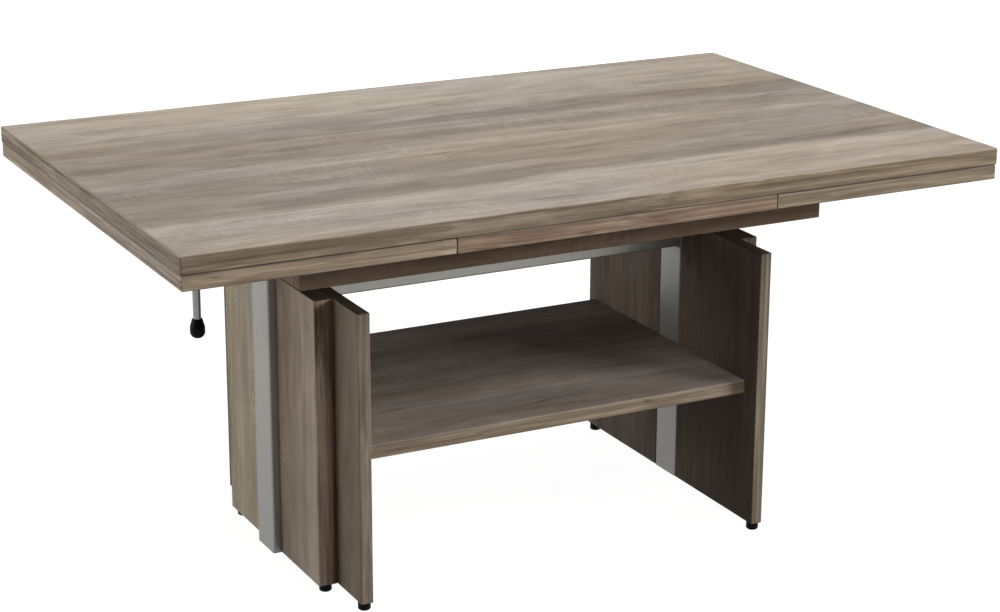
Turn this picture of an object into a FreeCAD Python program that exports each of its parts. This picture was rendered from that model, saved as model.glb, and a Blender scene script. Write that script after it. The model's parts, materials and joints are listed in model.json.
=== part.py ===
import FreeCAD, Part
import math
import os
import re
import Sketcher

# Height-adjustable table with a pull-out leaf at each end, in millimetres, shown in its lowest position.
# The origin is on the floor under the middle of the top, +X runs along the long side, the front is at -Y.

SIZES = {
    # Table top and the layer of boards under it
    "top_length": 1100,
    "top_depth": 680,
    "top_thickness": 22,
    "top_round": 2,
    "centre_length": 434,
    "leaf_thickness": 18,
    "leaf_rest_gap": 0.3,
    "leaf_top_gap": 0.7,
    "leaf_joint_gap": 1,
    "leaf_end_setback": 1,
    "leaf_side_setback": 1,
    "leaf_travel": 320,
    # Lopers: the bars that carry a leaf, with their guides and stops
    "loper_width": 20,
    "loper_height": 24,
    "loper_end_inset": 60,
    "loper_play": 0.3,
    "left_loper_offset": 170,
    "right_loper_offset": 140,
    "guide_length": 30,
    "guide_wall": 4,
    "guide_inset": 7,
    "stop_thickness": 4,
    "stop_play": 0.5,
    # Apron frame
    "apron_end_gap": 26,
    "apron_depth": 442,
    "apron_height": 57,
    "apron_thickness": 16,
    "apron_gap": 38,
    "block_leg": 22,
    "block_height": 26,
    "block_lift": 6,
    # Legs and shelf
    "edge_chamfer": 0.8,
    "leg_span": 550,
    "leg_height": 374,
    "leg_depth": 444,
    "inner_panel_thickness": 16,
    "outer_panel_thickness": 25,
    "outer_panel_width": 123,
    "shelf_top": 205,
    "shelf_thickness": 18,
    "shelf_depth": 400,
    "shelf_setback": 5,
    "dowel_diameter": 8,
    "dowel_length": 30,
    "dowel_in_panel": 11,
    "dowel_play": 0.1,
    "dowel_near": 80,
    "dowel_far": 160,
    # Foot glides
    "glide_height": 10,
    "glide_diameter": 16,
    "glide_chamfer": 1.5,
    "glide_inset": 10,
    "nail_diameter": 3,
    "nail_length": 14,
    "nail_play": 0.1,
    # Columns and the rail between them
    "column_size": 52,
    "column_wall": 2,
    "column_round": 2.5,
    "rail_width": 50,
    "rail_height": 40,
    "rail_wall": 2,
    "base_plate_thickness": 6,
    "buffer_thickness": 4,
    "buffer_margin": 3,
    "bush_depth": 80,
    "bush_flange": 4,
    "bush_flange_inset": 1,
    "bush_play": 0.15,
    # Inner tubes that carry the top
    "lift_travel": 200,
    "tube_size": 40,
    "tube_wall": 2,
    "tube_round": 2,
    "slot_play": 1,
    "lower_glide_height": 40,
    "lower_glide_base": 4,
    "lower_glide_play": 0.15,
    "head_plate_length": 100,
    "head_plate_thickness": 5,
    "bearer_width": 40,
    "bearer_height": 25,
    "bearer_wall": 2,
    "bearer_gap": 4,
    "bracket_leg": 35,
    "bracket_rise": 25,
    "bracket_width": 36,
    "bracket_thickness": 2.5,
    "bolt_diameter": 8,
    "bolt_spacing": 70,
    "bolt_flats": 13,
    "bolt_head_height": 5.3,
    "bolt_tail": 2,
    "bolt_play": 0.2,
    "nut_height": 4,
    # Gas springs
    "spring_offset": 7,
    "cylinder_diameter": 18,
    "cylinder_wall": 1.2,
    "cylinder_cap": 8,
    "cylinder_guide": 20,
    "cylinder_gap": 16,
    "stud_diameter": 8,
    "rod_diameter": 8,
    "rod_play": 0.05,
    "rod_tail": 1,
    "piston_height": 10,
    "piston_play": 0.3,
    "piston_rest": 6,
    # Synchronising shaft, its pinions and the racks on the inner tubes
    "shaft_diameter": 10,
    "shaft_play": 0.05,
    "shaft_tail": 1,
    "bearing_diameter": 16,
    "bearing_flange_diameter": 24,
    "bearing_flange": 4,
    "bearing_nose": 2,
    "gear_module": 1.5,
    "pinion_teeth": 12,
    "gear_width": 10,
    "gear_side_gap": 2,
    "tooth_addendum": 1.02,
    "tooth_clearance": 0.35,
    "tooth_backlash": 0.25,
    "pressure_angle": 20,
    "rack_spare_teeth": 2,
    # Release lever
    "lever_diameter": 10,
    "lever_rise": 15,
    "lever_reach": 50,
    "lever_drop": 131,
    "lever_bend": 16,
    "lever_tail": 2,
    "knob_diameter": 19,
    "knob_length": 25,
    "knob_shoulder": 10,
    "knob_neck": 13,
    "knob_flat": 2,
    "knob_socket": 14,
    "arm_reach": 8,
    "arm_hub_diameter": 14,
    "arm_nose_diameter": 8,
    "arm_width": 12,
    "pin_diameter": 3,
    "pin_play": 0.05,
    "pin_gap": 0.3,
    "pin_depth": 20,
    "pin_chamfer": 0.4,
    "pin_bore_spare": 4,
    "lever_bush_diameter": 14,
    "lever_bush_flange_diameter": 20,
    "lever_bush_flange": 2,
    "collar_diameter": 18,
    "collar_width": 8,
    "collar_play": 0.5,
}

# Places worked out from the sizes above.
PLACES = {
    "leg_top": "glide_height + leg_height",
    "leg_inside": "leg_span / 2",
    "panel_joint": "leg_inside + inner_panel_thickness",
    "leg_outside": "panel_joint + outer_panel_thickness",
    "outer_panel_reach": "column_size / 2 + outer_panel_width",
    "column_axis": "leg_inside + column_size / 2",
    "column_cavity": "column_size - 2 * column_wall",
    "shelf_middle": "shelf_top - shelf_thickness / 2",
    "rail_axis": "leg_top - rail_height / 2",
    "column_floor": "glide_height + base_plate_thickness",
    "apron_low": "leg_top + apron_gap",
    "apron_top": "apron_low + apron_height",
    "apron_inside_x": "column_axis + bearer_width / 2 + apron_end_gap",
    "apron_half_length": "apron_inside_x + apron_thickness",
    "apron_inside_y": "apron_depth / 2 - apron_thickness",
    "leaf_low": "apron_top + leaf_rest_gap",
    "top_low": "leaf_low + leaf_thickness + leaf_top_gap",
    "board_half_depth": "top_depth / 2 - leaf_side_setback",
    "leaf_inner_end": "centre_length / 2 + leaf_joint_gap",
    "leaf_outer_end": "top_length / 2 - leaf_end_setback",
    "loper_low": "leaf_low - loper_height",
    "guide_inner_face": "centre_length / 2 - guide_inset - guide_length",
    "loper_inner_end": "guide_inner_face - leaf_travel - stop_play",
    "loper_outer_end": "leaf_outer_end - loper_end_inset",
    "loper_relief": "apron_top - loper_play",
    "guide_half_gap": "loper_width / 2 + loper_play",
    "guide_half_width": "guide_half_gap + guide_wall",
    "guide_floor": "loper_low - loper_play",
    "bearer_top": "apron_top - loper_height - bearer_gap",
    "bearer_low": "bearer_top - bearer_height",
    "bearer_floor": "bearer_low + bearer_wall",
    "head_low": "bearer_low - head_plate_thickness",
    "lower_glide_low": "column_floor + buffer_thickness",
    "tube_low": "lower_glide_low + lower_glide_base",
    "tube_cavity": "tube_size - 2 * tube_wall",
    "gear_axis_x": "column_axis - tube_size / 2 + tube_wall + gear_side_gap + gear_width / 2",
    "gear_far_side": "gear_axis_x + gear_width / 2",
    "cylinder_top": "head_low - cylinder_gap",
    "cylinder_floor": "column_floor + cylinder_cap",
    "piston_low": "cylinder_floor + piston_rest",
    "piston_radius": "cylinder_diameter / 2 - cylinder_wall - piston_play",
    "rod_top": "bearer_floor + nut_height + rod_tail",
    "spring_axis": "column_axis + spring_offset",
    "lever_axis": "bearer_low + lever_rise",
    "lever_x": "apron_half_length + lever_reach",
    "lever_inner_end": "column_axis - bearer_width / 2 - lever_tail",
    "knob_low": "lever_axis - lever_drop",
    "lever_low": "knob_low + knob_length - knob_socket",
    "lever_bore": "lever_diameter + 2 * shaft_play",
    "pin_top": "lever_axis - arm_nose_diameter / 2 - pin_gap",
    "pin_low": "rod_top - pin_depth",
    "bolt_hole": "bolt_diameter + 2 * bolt_play",
    "nut_bore": "bolt_diameter + bolt_play",
}

INVOLUTE_STEPS = 4

doc = FreeCAD.newDocument("lift_table")
sheet = doc.addObject("Spreadsheet::Sheet", "sizes")
for row, (alias, size) in enumerate(SIZES.items(), start=1):
    sheet.set(f"A{row}", alias.replace("_", " "))
    sheet.set(f"B{row}", str(size))
    sheet.setAlias(f"B{row}", alias)
doc.recompute()

pieces = []


def linked(text):
    """Turn size and place names into references to the sheet's cells."""

    def reference(match):
        word = match.group()
        if word in PLACES:
            return "(" + linked(PLACES[word]) + ")"
        return "sizes." + word if word in SIZES else word

    return re.sub(r"[a-z_]+", reference, text)


def value(text):
    return float(sheet.evalExpression(linked(text)))


def bind(item, **properties):
    """Tie properties to expressions; a double underscore in a name stands for a dot."""
    for name, text in properties.items():
        item.setExpression(name.replace("__", "."), linked(text))


def place(item, x="0", y="0", z="0"):
    bind(item, Placement__Base__x=x, Placement__Base__y=y, Placement__Base__z=z)


def keep(item, label):
    """Name a finished sub-part, which is then written to its own file."""
    item.Label = label
    pieces.append(item)
    return item


def new_body(name):
    return doc.addObject("PartDesign::Body", name)


def sketch_on(body, plane, lift="0"):
    """Empty sketch on one of the body's origin planes, raised along the plane's normal."""
    sketch = body.newObject("Sketcher::SketchObject", body.Name + "_sketch")
    support = next(item for item in body.Origin.OriginFeatures if item.Role == plane)
    sketch.AttachmentSupport = [(support, "")]
    sketch.MapMode = "FlatFace"
    bind(sketch, AttachmentOffset__Base__z=lift)
    return sketch


def fix_point(sketch, edge, end, x, y):
    """Hold one point of an edge at a place measured from the sketch's origin."""
    for kind, text in (("DistanceX", x), ("DistanceY", y)):
        constraint = sketch.addConstraint(Sketcher.Constraint(kind, -1, 1, edge, end, value(text)))
        sketch.setExpression(f"Constraints[{constraint}]", linked(text))


def draw_polygon(sketch, points):
    corners = [FreeCAD.Vector(value(x), value(y), 0) for x, y in points]
    first = sketch.GeometryCount
    count = len(points)
    for index in range(count):
        sketch.addGeometry(Part.LineSegment(corners[index], corners[(index + 1) % count]))
    for index in range(count):
        following = first + (index + 1) % count
        sketch.addConstraint(Sketcher.Constraint("Coincident", first + index, 2, following, 1))
    for index, (x, y) in enumerate(points):
        fix_point(sketch, first + index, 1, x, y)


def draw_circle(sketch, x, y, diameter):
    centre = FreeCAD.Vector(value(x), value(y), 0)
    upward = FreeCAD.Vector(0, 0, 1)
    edge = sketch.addGeometry(Part.Circle(centre, upward, value(diameter) / 2))
    fix_point(sketch, edge, 3, x, y)
    constraint = sketch.addConstraint(Sketcher.Constraint("Diameter", edge, value(diameter)))
    sketch.setExpression(f"Constraints[{constraint}]", linked(diameter))


def rectangle(x_start, x_end, y_start, y_end):
    return [(x_start, y_start), (x_end, y_start), (x_end, y_end), (x_start, y_end)]


def centred(width, depth):
    return rectangle(f"-({width}) / 2", f"({width}) / 2", f"-({depth}) / 2", f"({depth}) / 2")


def pad(body, sketch, length, symmetric=False):
    feature = body.newObject("PartDesign::Pad", body.Name + "_pad")
    feature.Profile = sketch
    bind(feature, Length=length)
    if symmetric:
        feature.SideType = "Symmetric"
    return feature


def cut(body, sketch, depth=None, reverse=False, both_ways=False):
    """Pocket along the sketch's back, or along its normal if reversed; right through without a depth."""
    doc.recompute()
    volume_before = body.Shape.Volume
    feature = body.newObject("PartDesign::Pocket", body.Name + "_cut")
    feature.Profile = sketch
    feature.Reversed = reverse
    if depth is None:
        feature.Type = "ThroughAll"
    else:
        bind(feature, Length=depth)
    if both_ways:
        feature.SideType = "Symmetric"
    doc.recompute()
    if body.Shape.Volume >= volume_before:
        raise RuntimeError(f"{body.Name}: a cut removed nothing")


def drill(body, plane, lift, holes, depth=None, reverse=False, both_ways=False):
    """Cut round holes, each given as x, y and diameter on the plane."""
    sketch = sketch_on(body, plane, lift)
    for hole in holes:
        draw_circle(sketch, *hole)
    cut(body, sketch, depth, reverse, both_ways)


def revolve(body, sketch, axis):
    feature = body.newObject("PartDesign::Revolution", body.Name + "_turn")
    feature.Profile = sketch
    feature.ReferenceAxis = (sketch, [axis])
    feature.Angle = 360


def turned(name, points, axis="V_Axis"):
    """Body turned about the Z axis, or about the X axis for H_Axis, from its half section."""
    body = new_body(name)
    sketch = sketch_on(body, "XZ_Plane")
    draw_polygon(sketch, points)
    revolve(body, sketch, axis)
    return body


def soften(body, kind, size, edges=()):
    """Fillet or chamfer the named edges of the body, or all of them."""
    doc.recompute()
    base = body.Tip
    feature = body.newObject("PartDesign::" + kind, body.Name + "_" + kind.lower())
    feature.Base = (base, list(edges))
    feature.UseAllEdges = not edges
    bind(feature, **{"Radius" if kind == "Fillet" else "Size": size})


def edges_along(body, direction):
    """Names of the body's straight edges that run along a direction."""
    doc.recompute()
    names = []
    for number, edge in enumerate(body.Shape.Edges, start=1):
        start, end = edge.firstVertex().Point, edge.lastVertex().Point
        if (end - start).cross(direction).Length < 1e-6:
            names.append(f"Edge{number}")
    return names


def rims(body, diameter):
    """Names of the body's round edges of one diameter."""
    doc.recompute()
    names = []
    for number, edge in enumerate(body.Shape.Edges, start=1):
        if isinstance(edge.Curve, Part.Circle) and abs(edge.Curve.Radius - value(diameter) / 2) < 1e-6:
            names.append(f"Edge{number}")
    return names


def board(label, x_range, y_range, low, thickness, kind="Chamfer", edge="edge_chamfer"):
    """Flat board with eased edges."""
    body = new_body(label)
    sketch = sketch_on(body, "XY_Plane", low)
    draw_polygon(sketch, rectangle(*x_range, *y_range))
    pad(body, sketch, thickness)
    soften(body, kind, edge)
    return keep(body, label)


def square_tube(name, size, cavity, low, height, corner):
    """Upright square tube about the Z axis with rounded outer corners."""
    body = new_body(name)
    outside = sketch_on(body, "XY_Plane", low)
    draw_polygon(outside, centred(size, size))
    pad(body, outside, height)
    soften(body, "Fillet", corner, edges_along(body, FreeCAD.Vector(0, 0, 1)))
    inside = sketch_on(body, "XY_Plane", low)
    draw_polygon(inside, centred(cavity, cavity))
    cut(body, inside, reverse=True)
    return body


def mirrored(source, normal):
    item = doc.addObject("Part::Mirroring", source.Name + "_mirrored")
    item.Source = source
    item.Normal = normal
    return item


def group(items, name="group"):
    item = doc.addObject("Part::Compound", name)
    item.Links = items
    return item


def pair(source, normal):
    """The source and its mirror image."""
    return group([source, mirrored(source, normal)], source.Name + "_pair")


ACROSS = FreeCAD.Vector(1, 0, 0)
FRONT_TO_BACK = FreeCAD.Vector(0, 1, 0)


def quad(source):
    """The source repeated at all four corners of the table."""
    return pair(pair(source, FRONT_TO_BACK), ACROSS)


def at_column(body, side):
    """Stand a body that was made about its column's axis at the right (1) or left (-1) column."""
    body.Placement = FreeCAD.Placement(
        FreeCAD.Vector(0, 0, 0), FreeCAD.Rotation(FreeCAD.Vector(0, 0, 1), 0 if side > 0 else 180)
    )
    place(body, x=f"{side} * column_axis")
    return body


def make_top():
    half_length, half_depth = "top_length / 2", "top_depth / 2"
    board("table_top", (f"-{half_length}", half_length), (f"-{half_depth}", half_depth),
          "top_low", "top_thickness", "Fillet", "top_round")
    board("centre_board", ("-centre_length / 2", "centre_length / 2"),
          ("-board_half_depth", "board_half_depth"), "apron_top", "top_low - apron_top")


def make_leaf(side, sign):
    """One leaf with its two lopers, whose inner stretch is relieved to pass under the centre board."""
    board(f"{side}_leaf", (f"{sign} * leaf_inner_end", f"{sign} * leaf_outer_end"),
          ("-board_half_depth", "board_half_depth"), "leaf_low", "leaf_thickness")
    offset = f"{side}_loper_offset"
    for depth_name, depth_sign in (("front", -1), ("rear", 1)):
        body = new_body(f"{side}_{depth_name}_loper")
        profile = sketch_on(body, "XZ_Plane", f"{-depth_sign} * {offset}")
        draw_polygon(profile, [
            (f"{sign} * loper_inner_end", "loper_low"),
            (f"{sign} * loper_outer_end", "loper_low"),
            (f"{sign} * loper_outer_end", "leaf_low"),
            (f"{sign} * leaf_inner_end", "leaf_low"),
            (f"{sign} * leaf_inner_end", "loper_relief"),
            (f"{sign} * loper_inner_end", "loper_relief"),
        ])
        pad(body, profile, "loper_width", symmetric=True)
        keep(body, body.Name)
    stop = doc.addObject("Part::Box", f"{side}_loper_stop")
    bind(stop, Length="stop_thickness", Width="2 * guide_half_width", Height="loper_relief - loper_low")
    stop_x = "loper_inner_end - stop_thickness" if sign > 0 else "-loper_inner_end"
    place(stop, stop_x, f"-{offset} - guide_half_width", "loper_low")
    keep(pair(stop, FRONT_TO_BACK), f"{side}_loper_stops")


def make_loper_guides():
    """Four channels under the centre board, each round one loper."""
    guides = []
    for side, sign in (("left", -1), ("right", 1)):
        body = new_body(f"{side}_guide")
        section = sketch_on(body, "YZ_Plane", f"{sign} * (guide_inner_face + guide_length / 2)")
        middle = f"-{side}_loper_offset"
        draw_polygon(section, [
            (f"{middle} - guide_half_width", "guide_floor - guide_wall"),
            (f"{middle} + guide_half_width", "guide_floor - guide_wall"),
            (f"{middle} + guide_half_width", "apron_top"),
            (f"{middle} + guide_half_gap", "apron_top"),
            (f"{middle} + guide_half_gap", "guide_floor"),
            (f"{middle} - guide_half_gap", "guide_floor"),
            (f"{middle} - guide_half_gap", "apron_top"),
            (f"{middle} - guide_half_width", "apron_top"),
        ])
        pad(body, section, "guide_length", symmetric=True)
        guides.append(pair(body, FRONT_TO_BACK))
    keep(group(guides, "guides"), "loper_guides")


def make_apron():
    half_length, half_depth = "apron_half_length", "apron_depth / 2"
    for label, sign in (("apron_front", -1), ("apron_rear", 1)):
        board(label, (f"-{half_length}", half_length),
              (f"{sign} * {half_depth}", f"{sign} * apron_inside_y"), "apron_low", "apron_height")
    for side, sign in (("left", -1), ("right", 1)):
        body = board(f"apron_{side}", (f"{sign} * {half_length}", f"{sign} * apron_inside_x"),
                     ("-apron_inside_y", "apron_inside_y"), "apron_low", "apron_height")
        notches = sketch_on(body, "YZ_Plane", f"{sign} * {half_length}")
        for depth_sign in (-1, 1):
            middle = f"{depth_sign} * {side}_loper_offset"
            draw_polygon(notches, rectangle(f"{middle} - guide_half_gap", f"{middle} + guide_half_gap",
                                            "guide_floor", "apron_top"))
        cut(body, notches, reverse=sign < 0)
        if side == "left":
            drill(body, "YZ_Plane", f"-{half_length}", [("-arm_reach", "lever_axis", "lever_bush_diameter")],
                  reverse=True)
    block = new_body("corner_block")
    outline = sketch_on(block, "XY_Plane", "apron_low + block_lift")
    draw_polygon(outline, [
        ("apron_inside_x", "-apron_inside_y"),
        ("apron_inside_x", "-apron_inside_y + block_leg"),
        ("apron_inside_x - block_leg", "-apron_inside_y"),
    ])
    pad(block, outline, "block_height")
    keep(quad(block), "corner_blocks")


INNER_GLIDE = ("leg_inside + inner_panel_thickness / 2", "leg_depth / 2 - glide_inset")
OUTER_GLIDE = ("panel_joint + outer_panel_thickness / 2", "outer_panel_reach - glide_inset")


def make_leg_panels():
    """Four inner panels, drilled for the shelf's dowels, and four shorter outer panels on them."""
    nail_hole = "nail_diameter + 2 * nail_play"
    dowel_hole = "dowel_diameter + 2 * dowel_play"
    for side, x_sign in (("left", -1), ("right", 1)):
        for depth_name, y_sign in (("front", -1), ("rear", 1)):
            inner = board(f"{side}_{depth_name}_inner_panel",
                          (f"{x_sign} * leg_inside", f"{x_sign} * panel_joint"),
                          (f"{y_sign} * column_size / 2", f"{y_sign} * leg_depth / 2"),
                          "glide_height", "leg_height")
            dowels = [(f"{y_sign} * {offset}", "shelf_middle", dowel_hole)
                      for offset in ("dowel_near", "dowel_far")]
            drill(inner, "YZ_Plane", f"{x_sign} * leg_inside", dowels,
                  "dowel_in_panel + dowel_play", reverse=x_sign > 0)
            outer = board(f"{side}_{depth_name}_outer_panel",
                          (f"{x_sign} * panel_joint", f"{x_sign} * leg_outside"),
                          (f"{y_sign} * column_size / 2", f"{y_sign} * outer_panel_reach"),
                          "glide_height", "leg_height")
            for panel, (x, y) in ((inner, INNER_GLIDE), (outer, OUTER_GLIDE)):
                hole = (f"{x_sign} * ({x})", f"{y_sign} * ({y})", nail_hole)
                drill(panel, "XY_Plane", "glide_height", [hole], "nail_length + nail_play", reverse=True)


def make_foot_glides():
    """Round glides with a nail, one under each leg panel."""
    corners = []
    for name, (x, y) in (("inner_glide", INNER_GLIDE), ("outer_glide", OUTER_GLIDE)):
        glide = turned(name, [
            ("0", "0"),
            ("glide_diameter / 2 - glide_chamfer", "0"),
            ("glide_diameter / 2", "glide_chamfer"),
            ("glide_diameter / 2", "glide_height"),
            ("nail_diameter / 2", "glide_height"),
            ("nail_diameter / 2", "glide_height + nail_length"),
            ("0", "glide_height + nail_length"),
        ])
        place(glide, x, y)
        corners.append(quad(glide))
    keep(group(corners, "glides"), "foot_glides")


def make_shelf():
    """Shelf between the legs on dowels that run into the inner panels."""
    shelf = board("shelf", ("-leg_inside", "leg_inside"),
                  ("shelf_setback - shelf_depth / 2", "shelf_setback + shelf_depth / 2"),
                  "shelf_top - shelf_thickness", "shelf_thickness")
    offsets = ("dowel_near", "dowel_far")
    holes = [(f"{sign} * {offset}", "shelf_middle", "dowel_diameter + 2 * dowel_play")
             for offset in offsets for sign in (-1, 1)]
    in_shelf = "dowel_length - dowel_in_panel"
    for sign in (-1, 1):
        drill(shelf, "YZ_Plane", f"{sign} * leg_inside", holes, f"{in_shelf} + dowel_play", reverse=sign < 0)
    corners = []
    for offset in offsets:
        dowel = doc.addObject("Part::Cylinder", "dowel")
        bind(dowel, Radius="dowel_diameter / 2", Height="dowel_length")
        dowel.Placement.Rotation = FreeCAD.Rotation(FRONT_TO_BACK, 90)
        place(dowel, f"leg_inside - ({in_shelf})", offset, "shelf_middle")
        corners.append(quad(dowel))
    keep(group(corners, "dowels"), "shelf_dowels")


def make_columns():
    for side, sign in (("left", -1), ("right", 1)):
        column = square_tube(f"{side}_column", "column_size", "column_cavity",
                             "glide_height", "leg_height", "column_round")
        drill(column, "YZ_Plane", "0", [("0", "rail_axis", "bearing_diameter")])
        keep(at_column(column, sign), f"{side}_column")


def make_column_fittings():
    """What is fixed inside each column: base plate, rest buffer and the guide bush at the top."""
    plate = new_body("base_plate")
    outline = sketch_on(plate, "XY_Plane", "glide_height")
    draw_polygon(outline, centred("column_cavity", "column_cavity"))
    draw_circle(outline, "spring_offset", "0", "stud_diameter + 2 * bolt_play")
    pad(plate, outline, "base_plate_thickness")

    buffer = new_body("rest_buffer")
    outline = sketch_on(buffer, "XY_Plane", "column_floor")
    width = "column_cavity - 2 * buffer_margin"
    draw_polygon(outline, centred(width, width))
    draw_circle(outline, "spring_offset", "0", "cylinder_diameter + 2 * tube_wall")
    pad(buffer, outline, "buffer_thickness")

    bush = new_body("column_bush")
    sleeve = sketch_on(bush, "XY_Plane", "leg_top - bush_depth")
    draw_polygon(sleeve, centred("column_cavity", "column_cavity"))
    pad(bush, sleeve, "bush_depth")
    flange = sketch_on(bush, "XY_Plane", "leg_top")
    width = "column_size - 2 * bush_flange_inset"
    draw_polygon(flange, centred(width, width))
    pad(bush, flange, "bush_flange")
    bore = sketch_on(bush, "XY_Plane", "leg_top - bush_depth")
    draw_polygon(bore, centred("tube_size + 2 * bush_play", "tube_size + 2 * bush_play"))
    cut(bush, bore, reverse=True)
    drill(bush, "YZ_Plane", "0", [("0", "rail_axis", "bearing_diameter + 2 * shaft_play")])

    for body, label in ((plate, "base_plates"), (buffer, "rest_buffers"), (bush, "column_bushes")):
        keep(pair(at_column(body, 1), ACROSS), label)


def make_cross_rail():
    rail = new_body("cross_rail")
    outside = sketch_on(rail, "YZ_Plane")
    draw_polygon(outside, rectangle("-rail_width / 2", "rail_width / 2", "leg_top - rail_height", "leg_top"))
    pad(rail, outside, "leg_span", symmetric=True)
    soften(rail, "Fillet", "column_round", edges_along(rail, ACROSS))
    inside = sketch_on(rail, "YZ_Plane")
    draw_polygon(inside, rectangle("-rail_width / 2 + rail_wall", "rail_width / 2 - rail_wall",
                                   "leg_top - rail_height + rail_wall", "leg_top - rail_wall"))
    cut(rail, inside, both_ways=True)
    keep(rail, "cross_rail")


def make_inner_tubes():
    """Tubes that slide in the columns, slotted where the shaft of the pinions passes their inner wall."""
    for side, sign in (("left", -1), ("right", 1)):
        tube = square_tube(f"{side}_inner_tube", "tube_size", "tube_cavity",
                           "tube_low", "head_low - tube_low", "tube_round")
        half_slot = "shaft_diameter / 2 + slot_play"
        slot = sketch_on(tube, "YZ_Plane")
        draw_polygon(slot, rectangle(f"-({half_slot})", half_slot,
                                     f"rail_axis - lift_travel - ({half_slot})", f"rail_axis + {half_slot}"))
        cut(tube, slot)
        keep(at_column(tube, sign), f"{side}_inner_tube")

    glide = new_body("lower_glide")
    outline = sketch_on(glide, "XY_Plane", "lower_glide_low")
    width = "column_cavity - 2 * lower_glide_play"
    draw_polygon(outline, centred(width, width))
    pad(glide, outline, "lower_glide_base + lower_glide_height")
    bore = sketch_on(glide, "XY_Plane", "lower_glide_low")
    draw_polygon(bore, centred("tube_cavity", "tube_cavity"))
    cut(glide, bore, reverse=True)
    seat = sketch_on(glide, "XY_Plane", "tube_low")
    draw_polygon(seat, centred("tube_size", "tube_size"))
    cut(glide, seat, reverse=True)
    keep(pair(at_column(glide, 1), ACROSS), "lower_glides")


def make_lift_heads():
    """Head plates on the inner tubes, cross bearers on them, and the brackets that hold the apron."""
    rod_hole = ("spring_offset", "0", "bolt_hole")
    bolt_holes = [("0", f"{sign} * bolt_spacing / 2", "bolt_hole") for sign in (-1, 1)]
    plate = new_body("head_plate")
    outline = sketch_on(plate, "XY_Plane", "head_low")
    draw_polygon(outline, centred("bearer_width", "head_plate_length"))
    for hole in (rod_hole, *bolt_holes):
        draw_circle(outline, *hole)
    pad(plate, outline, "head_plate_thickness")
    keep(pair(at_column(plate, 1), ACROSS), "head_plates")

    for side, sign in (("left", -1), ("right", 1)):
        bearer = new_body(f"{side}_bearer")
        section = sketch_on(bearer, "XZ_Plane")
        half = "bearer_width / 2"
        draw_polygon(section, rectangle(f"-{half}", half, "bearer_low", "bearer_top"))
        draw_polygon(section, rectangle(f"-{half} + bearer_wall", f"{half} - bearer_wall",
                                        "bearer_floor", "bearer_top - bearer_wall"))
        pad(bearer, section, "2 * apron_inside_y", symmetric=True)
        drill(bearer, "XY_Plane", "bearer_floor", [rod_hole, *bolt_holes])
        if side == "left":
            drill(bearer, "YZ_Plane", "0", [("arm_reach", "lever_axis", "lever_bore")], both_ways=True)
        keep(at_column(bearer, sign), f"{side}_bearer")

    bracket = new_body("bracket")
    section = sketch_on(bracket, "YZ_Plane", "column_axis")
    draw_polygon(section, [
        ("apron_inside_y - bracket_leg", "bearer_top"),
        ("apron_inside_y", "bearer_top"),
        ("apron_inside_y", "bearer_top + bracket_rise"),
        ("apron_inside_y - bracket_thickness", "bearer_top + bracket_rise"),
        ("apron_inside_y - bracket_thickness", "bearer_top + bracket_thickness"),
        ("apron_inside_y - bracket_leg", "bearer_top + bracket_thickness"),
    ])
    pad(bracket, section, "bracket_width", symmetric=True)
    keep(quad(bracket), "bearer_brackets")


def hexagon(name, height, x, y, z):
    item = doc.addObject("Part::Prism", name)
    item.Polygon = 6
    bind(item, Circumradius="bolt_flats / sqrt(3)", Height=height)
    place(item, x, y, z)
    return item


def round_bar(name, diameter, height, x, y, z):
    item = doc.addObject("Part::Cylinder", name)
    bind(item, Radius=f"({diameter}) / 2", Height=height)
    place(item, x, y, z)
    return item


def joined(base, tool):
    item = doc.addObject("Part::Fuse", base.Name + "_joined")
    item.Base = base
    item.Tool = tool
    return item


def bored(base, tool):
    item = doc.addObject("Part::Cut", base.Name + "_bored")
    item.Base = base
    item.Tool = tool
    return item


def make_fasteners():
    """Bolts between head plates and bearers, and thin nuts on the bolts and on the gas spring rods."""
    bolt_place = ("column_axis", "bolt_spacing / 2")
    head = hexagon("bolt_head", "bolt_head_height", *bolt_place, "head_low - bolt_head_height")
    shank_length = "bearer_floor + nut_height + bolt_tail - head_low"
    shank = round_bar("bolt_shank", "bolt_diameter", shank_length, *bolt_place, "head_low")
    keep(quad(joined(head, shank)), "head_bolts")

    nuts = []
    for repeat, nut_place in ((quad, bolt_place), (lambda nut: pair(nut, ACROSS), ("spring_axis", "0"))):
        block = hexagon("nut", "nut_height", *nut_place, "bearer_floor")
        bore = round_bar("nut_bore", "nut_bore", "nut_height", *nut_place, "bearer_floor")
        nuts.append(repeat(bored(block, bore)))
    keep(group(nuts, "nuts"), "frame_nuts")


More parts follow.
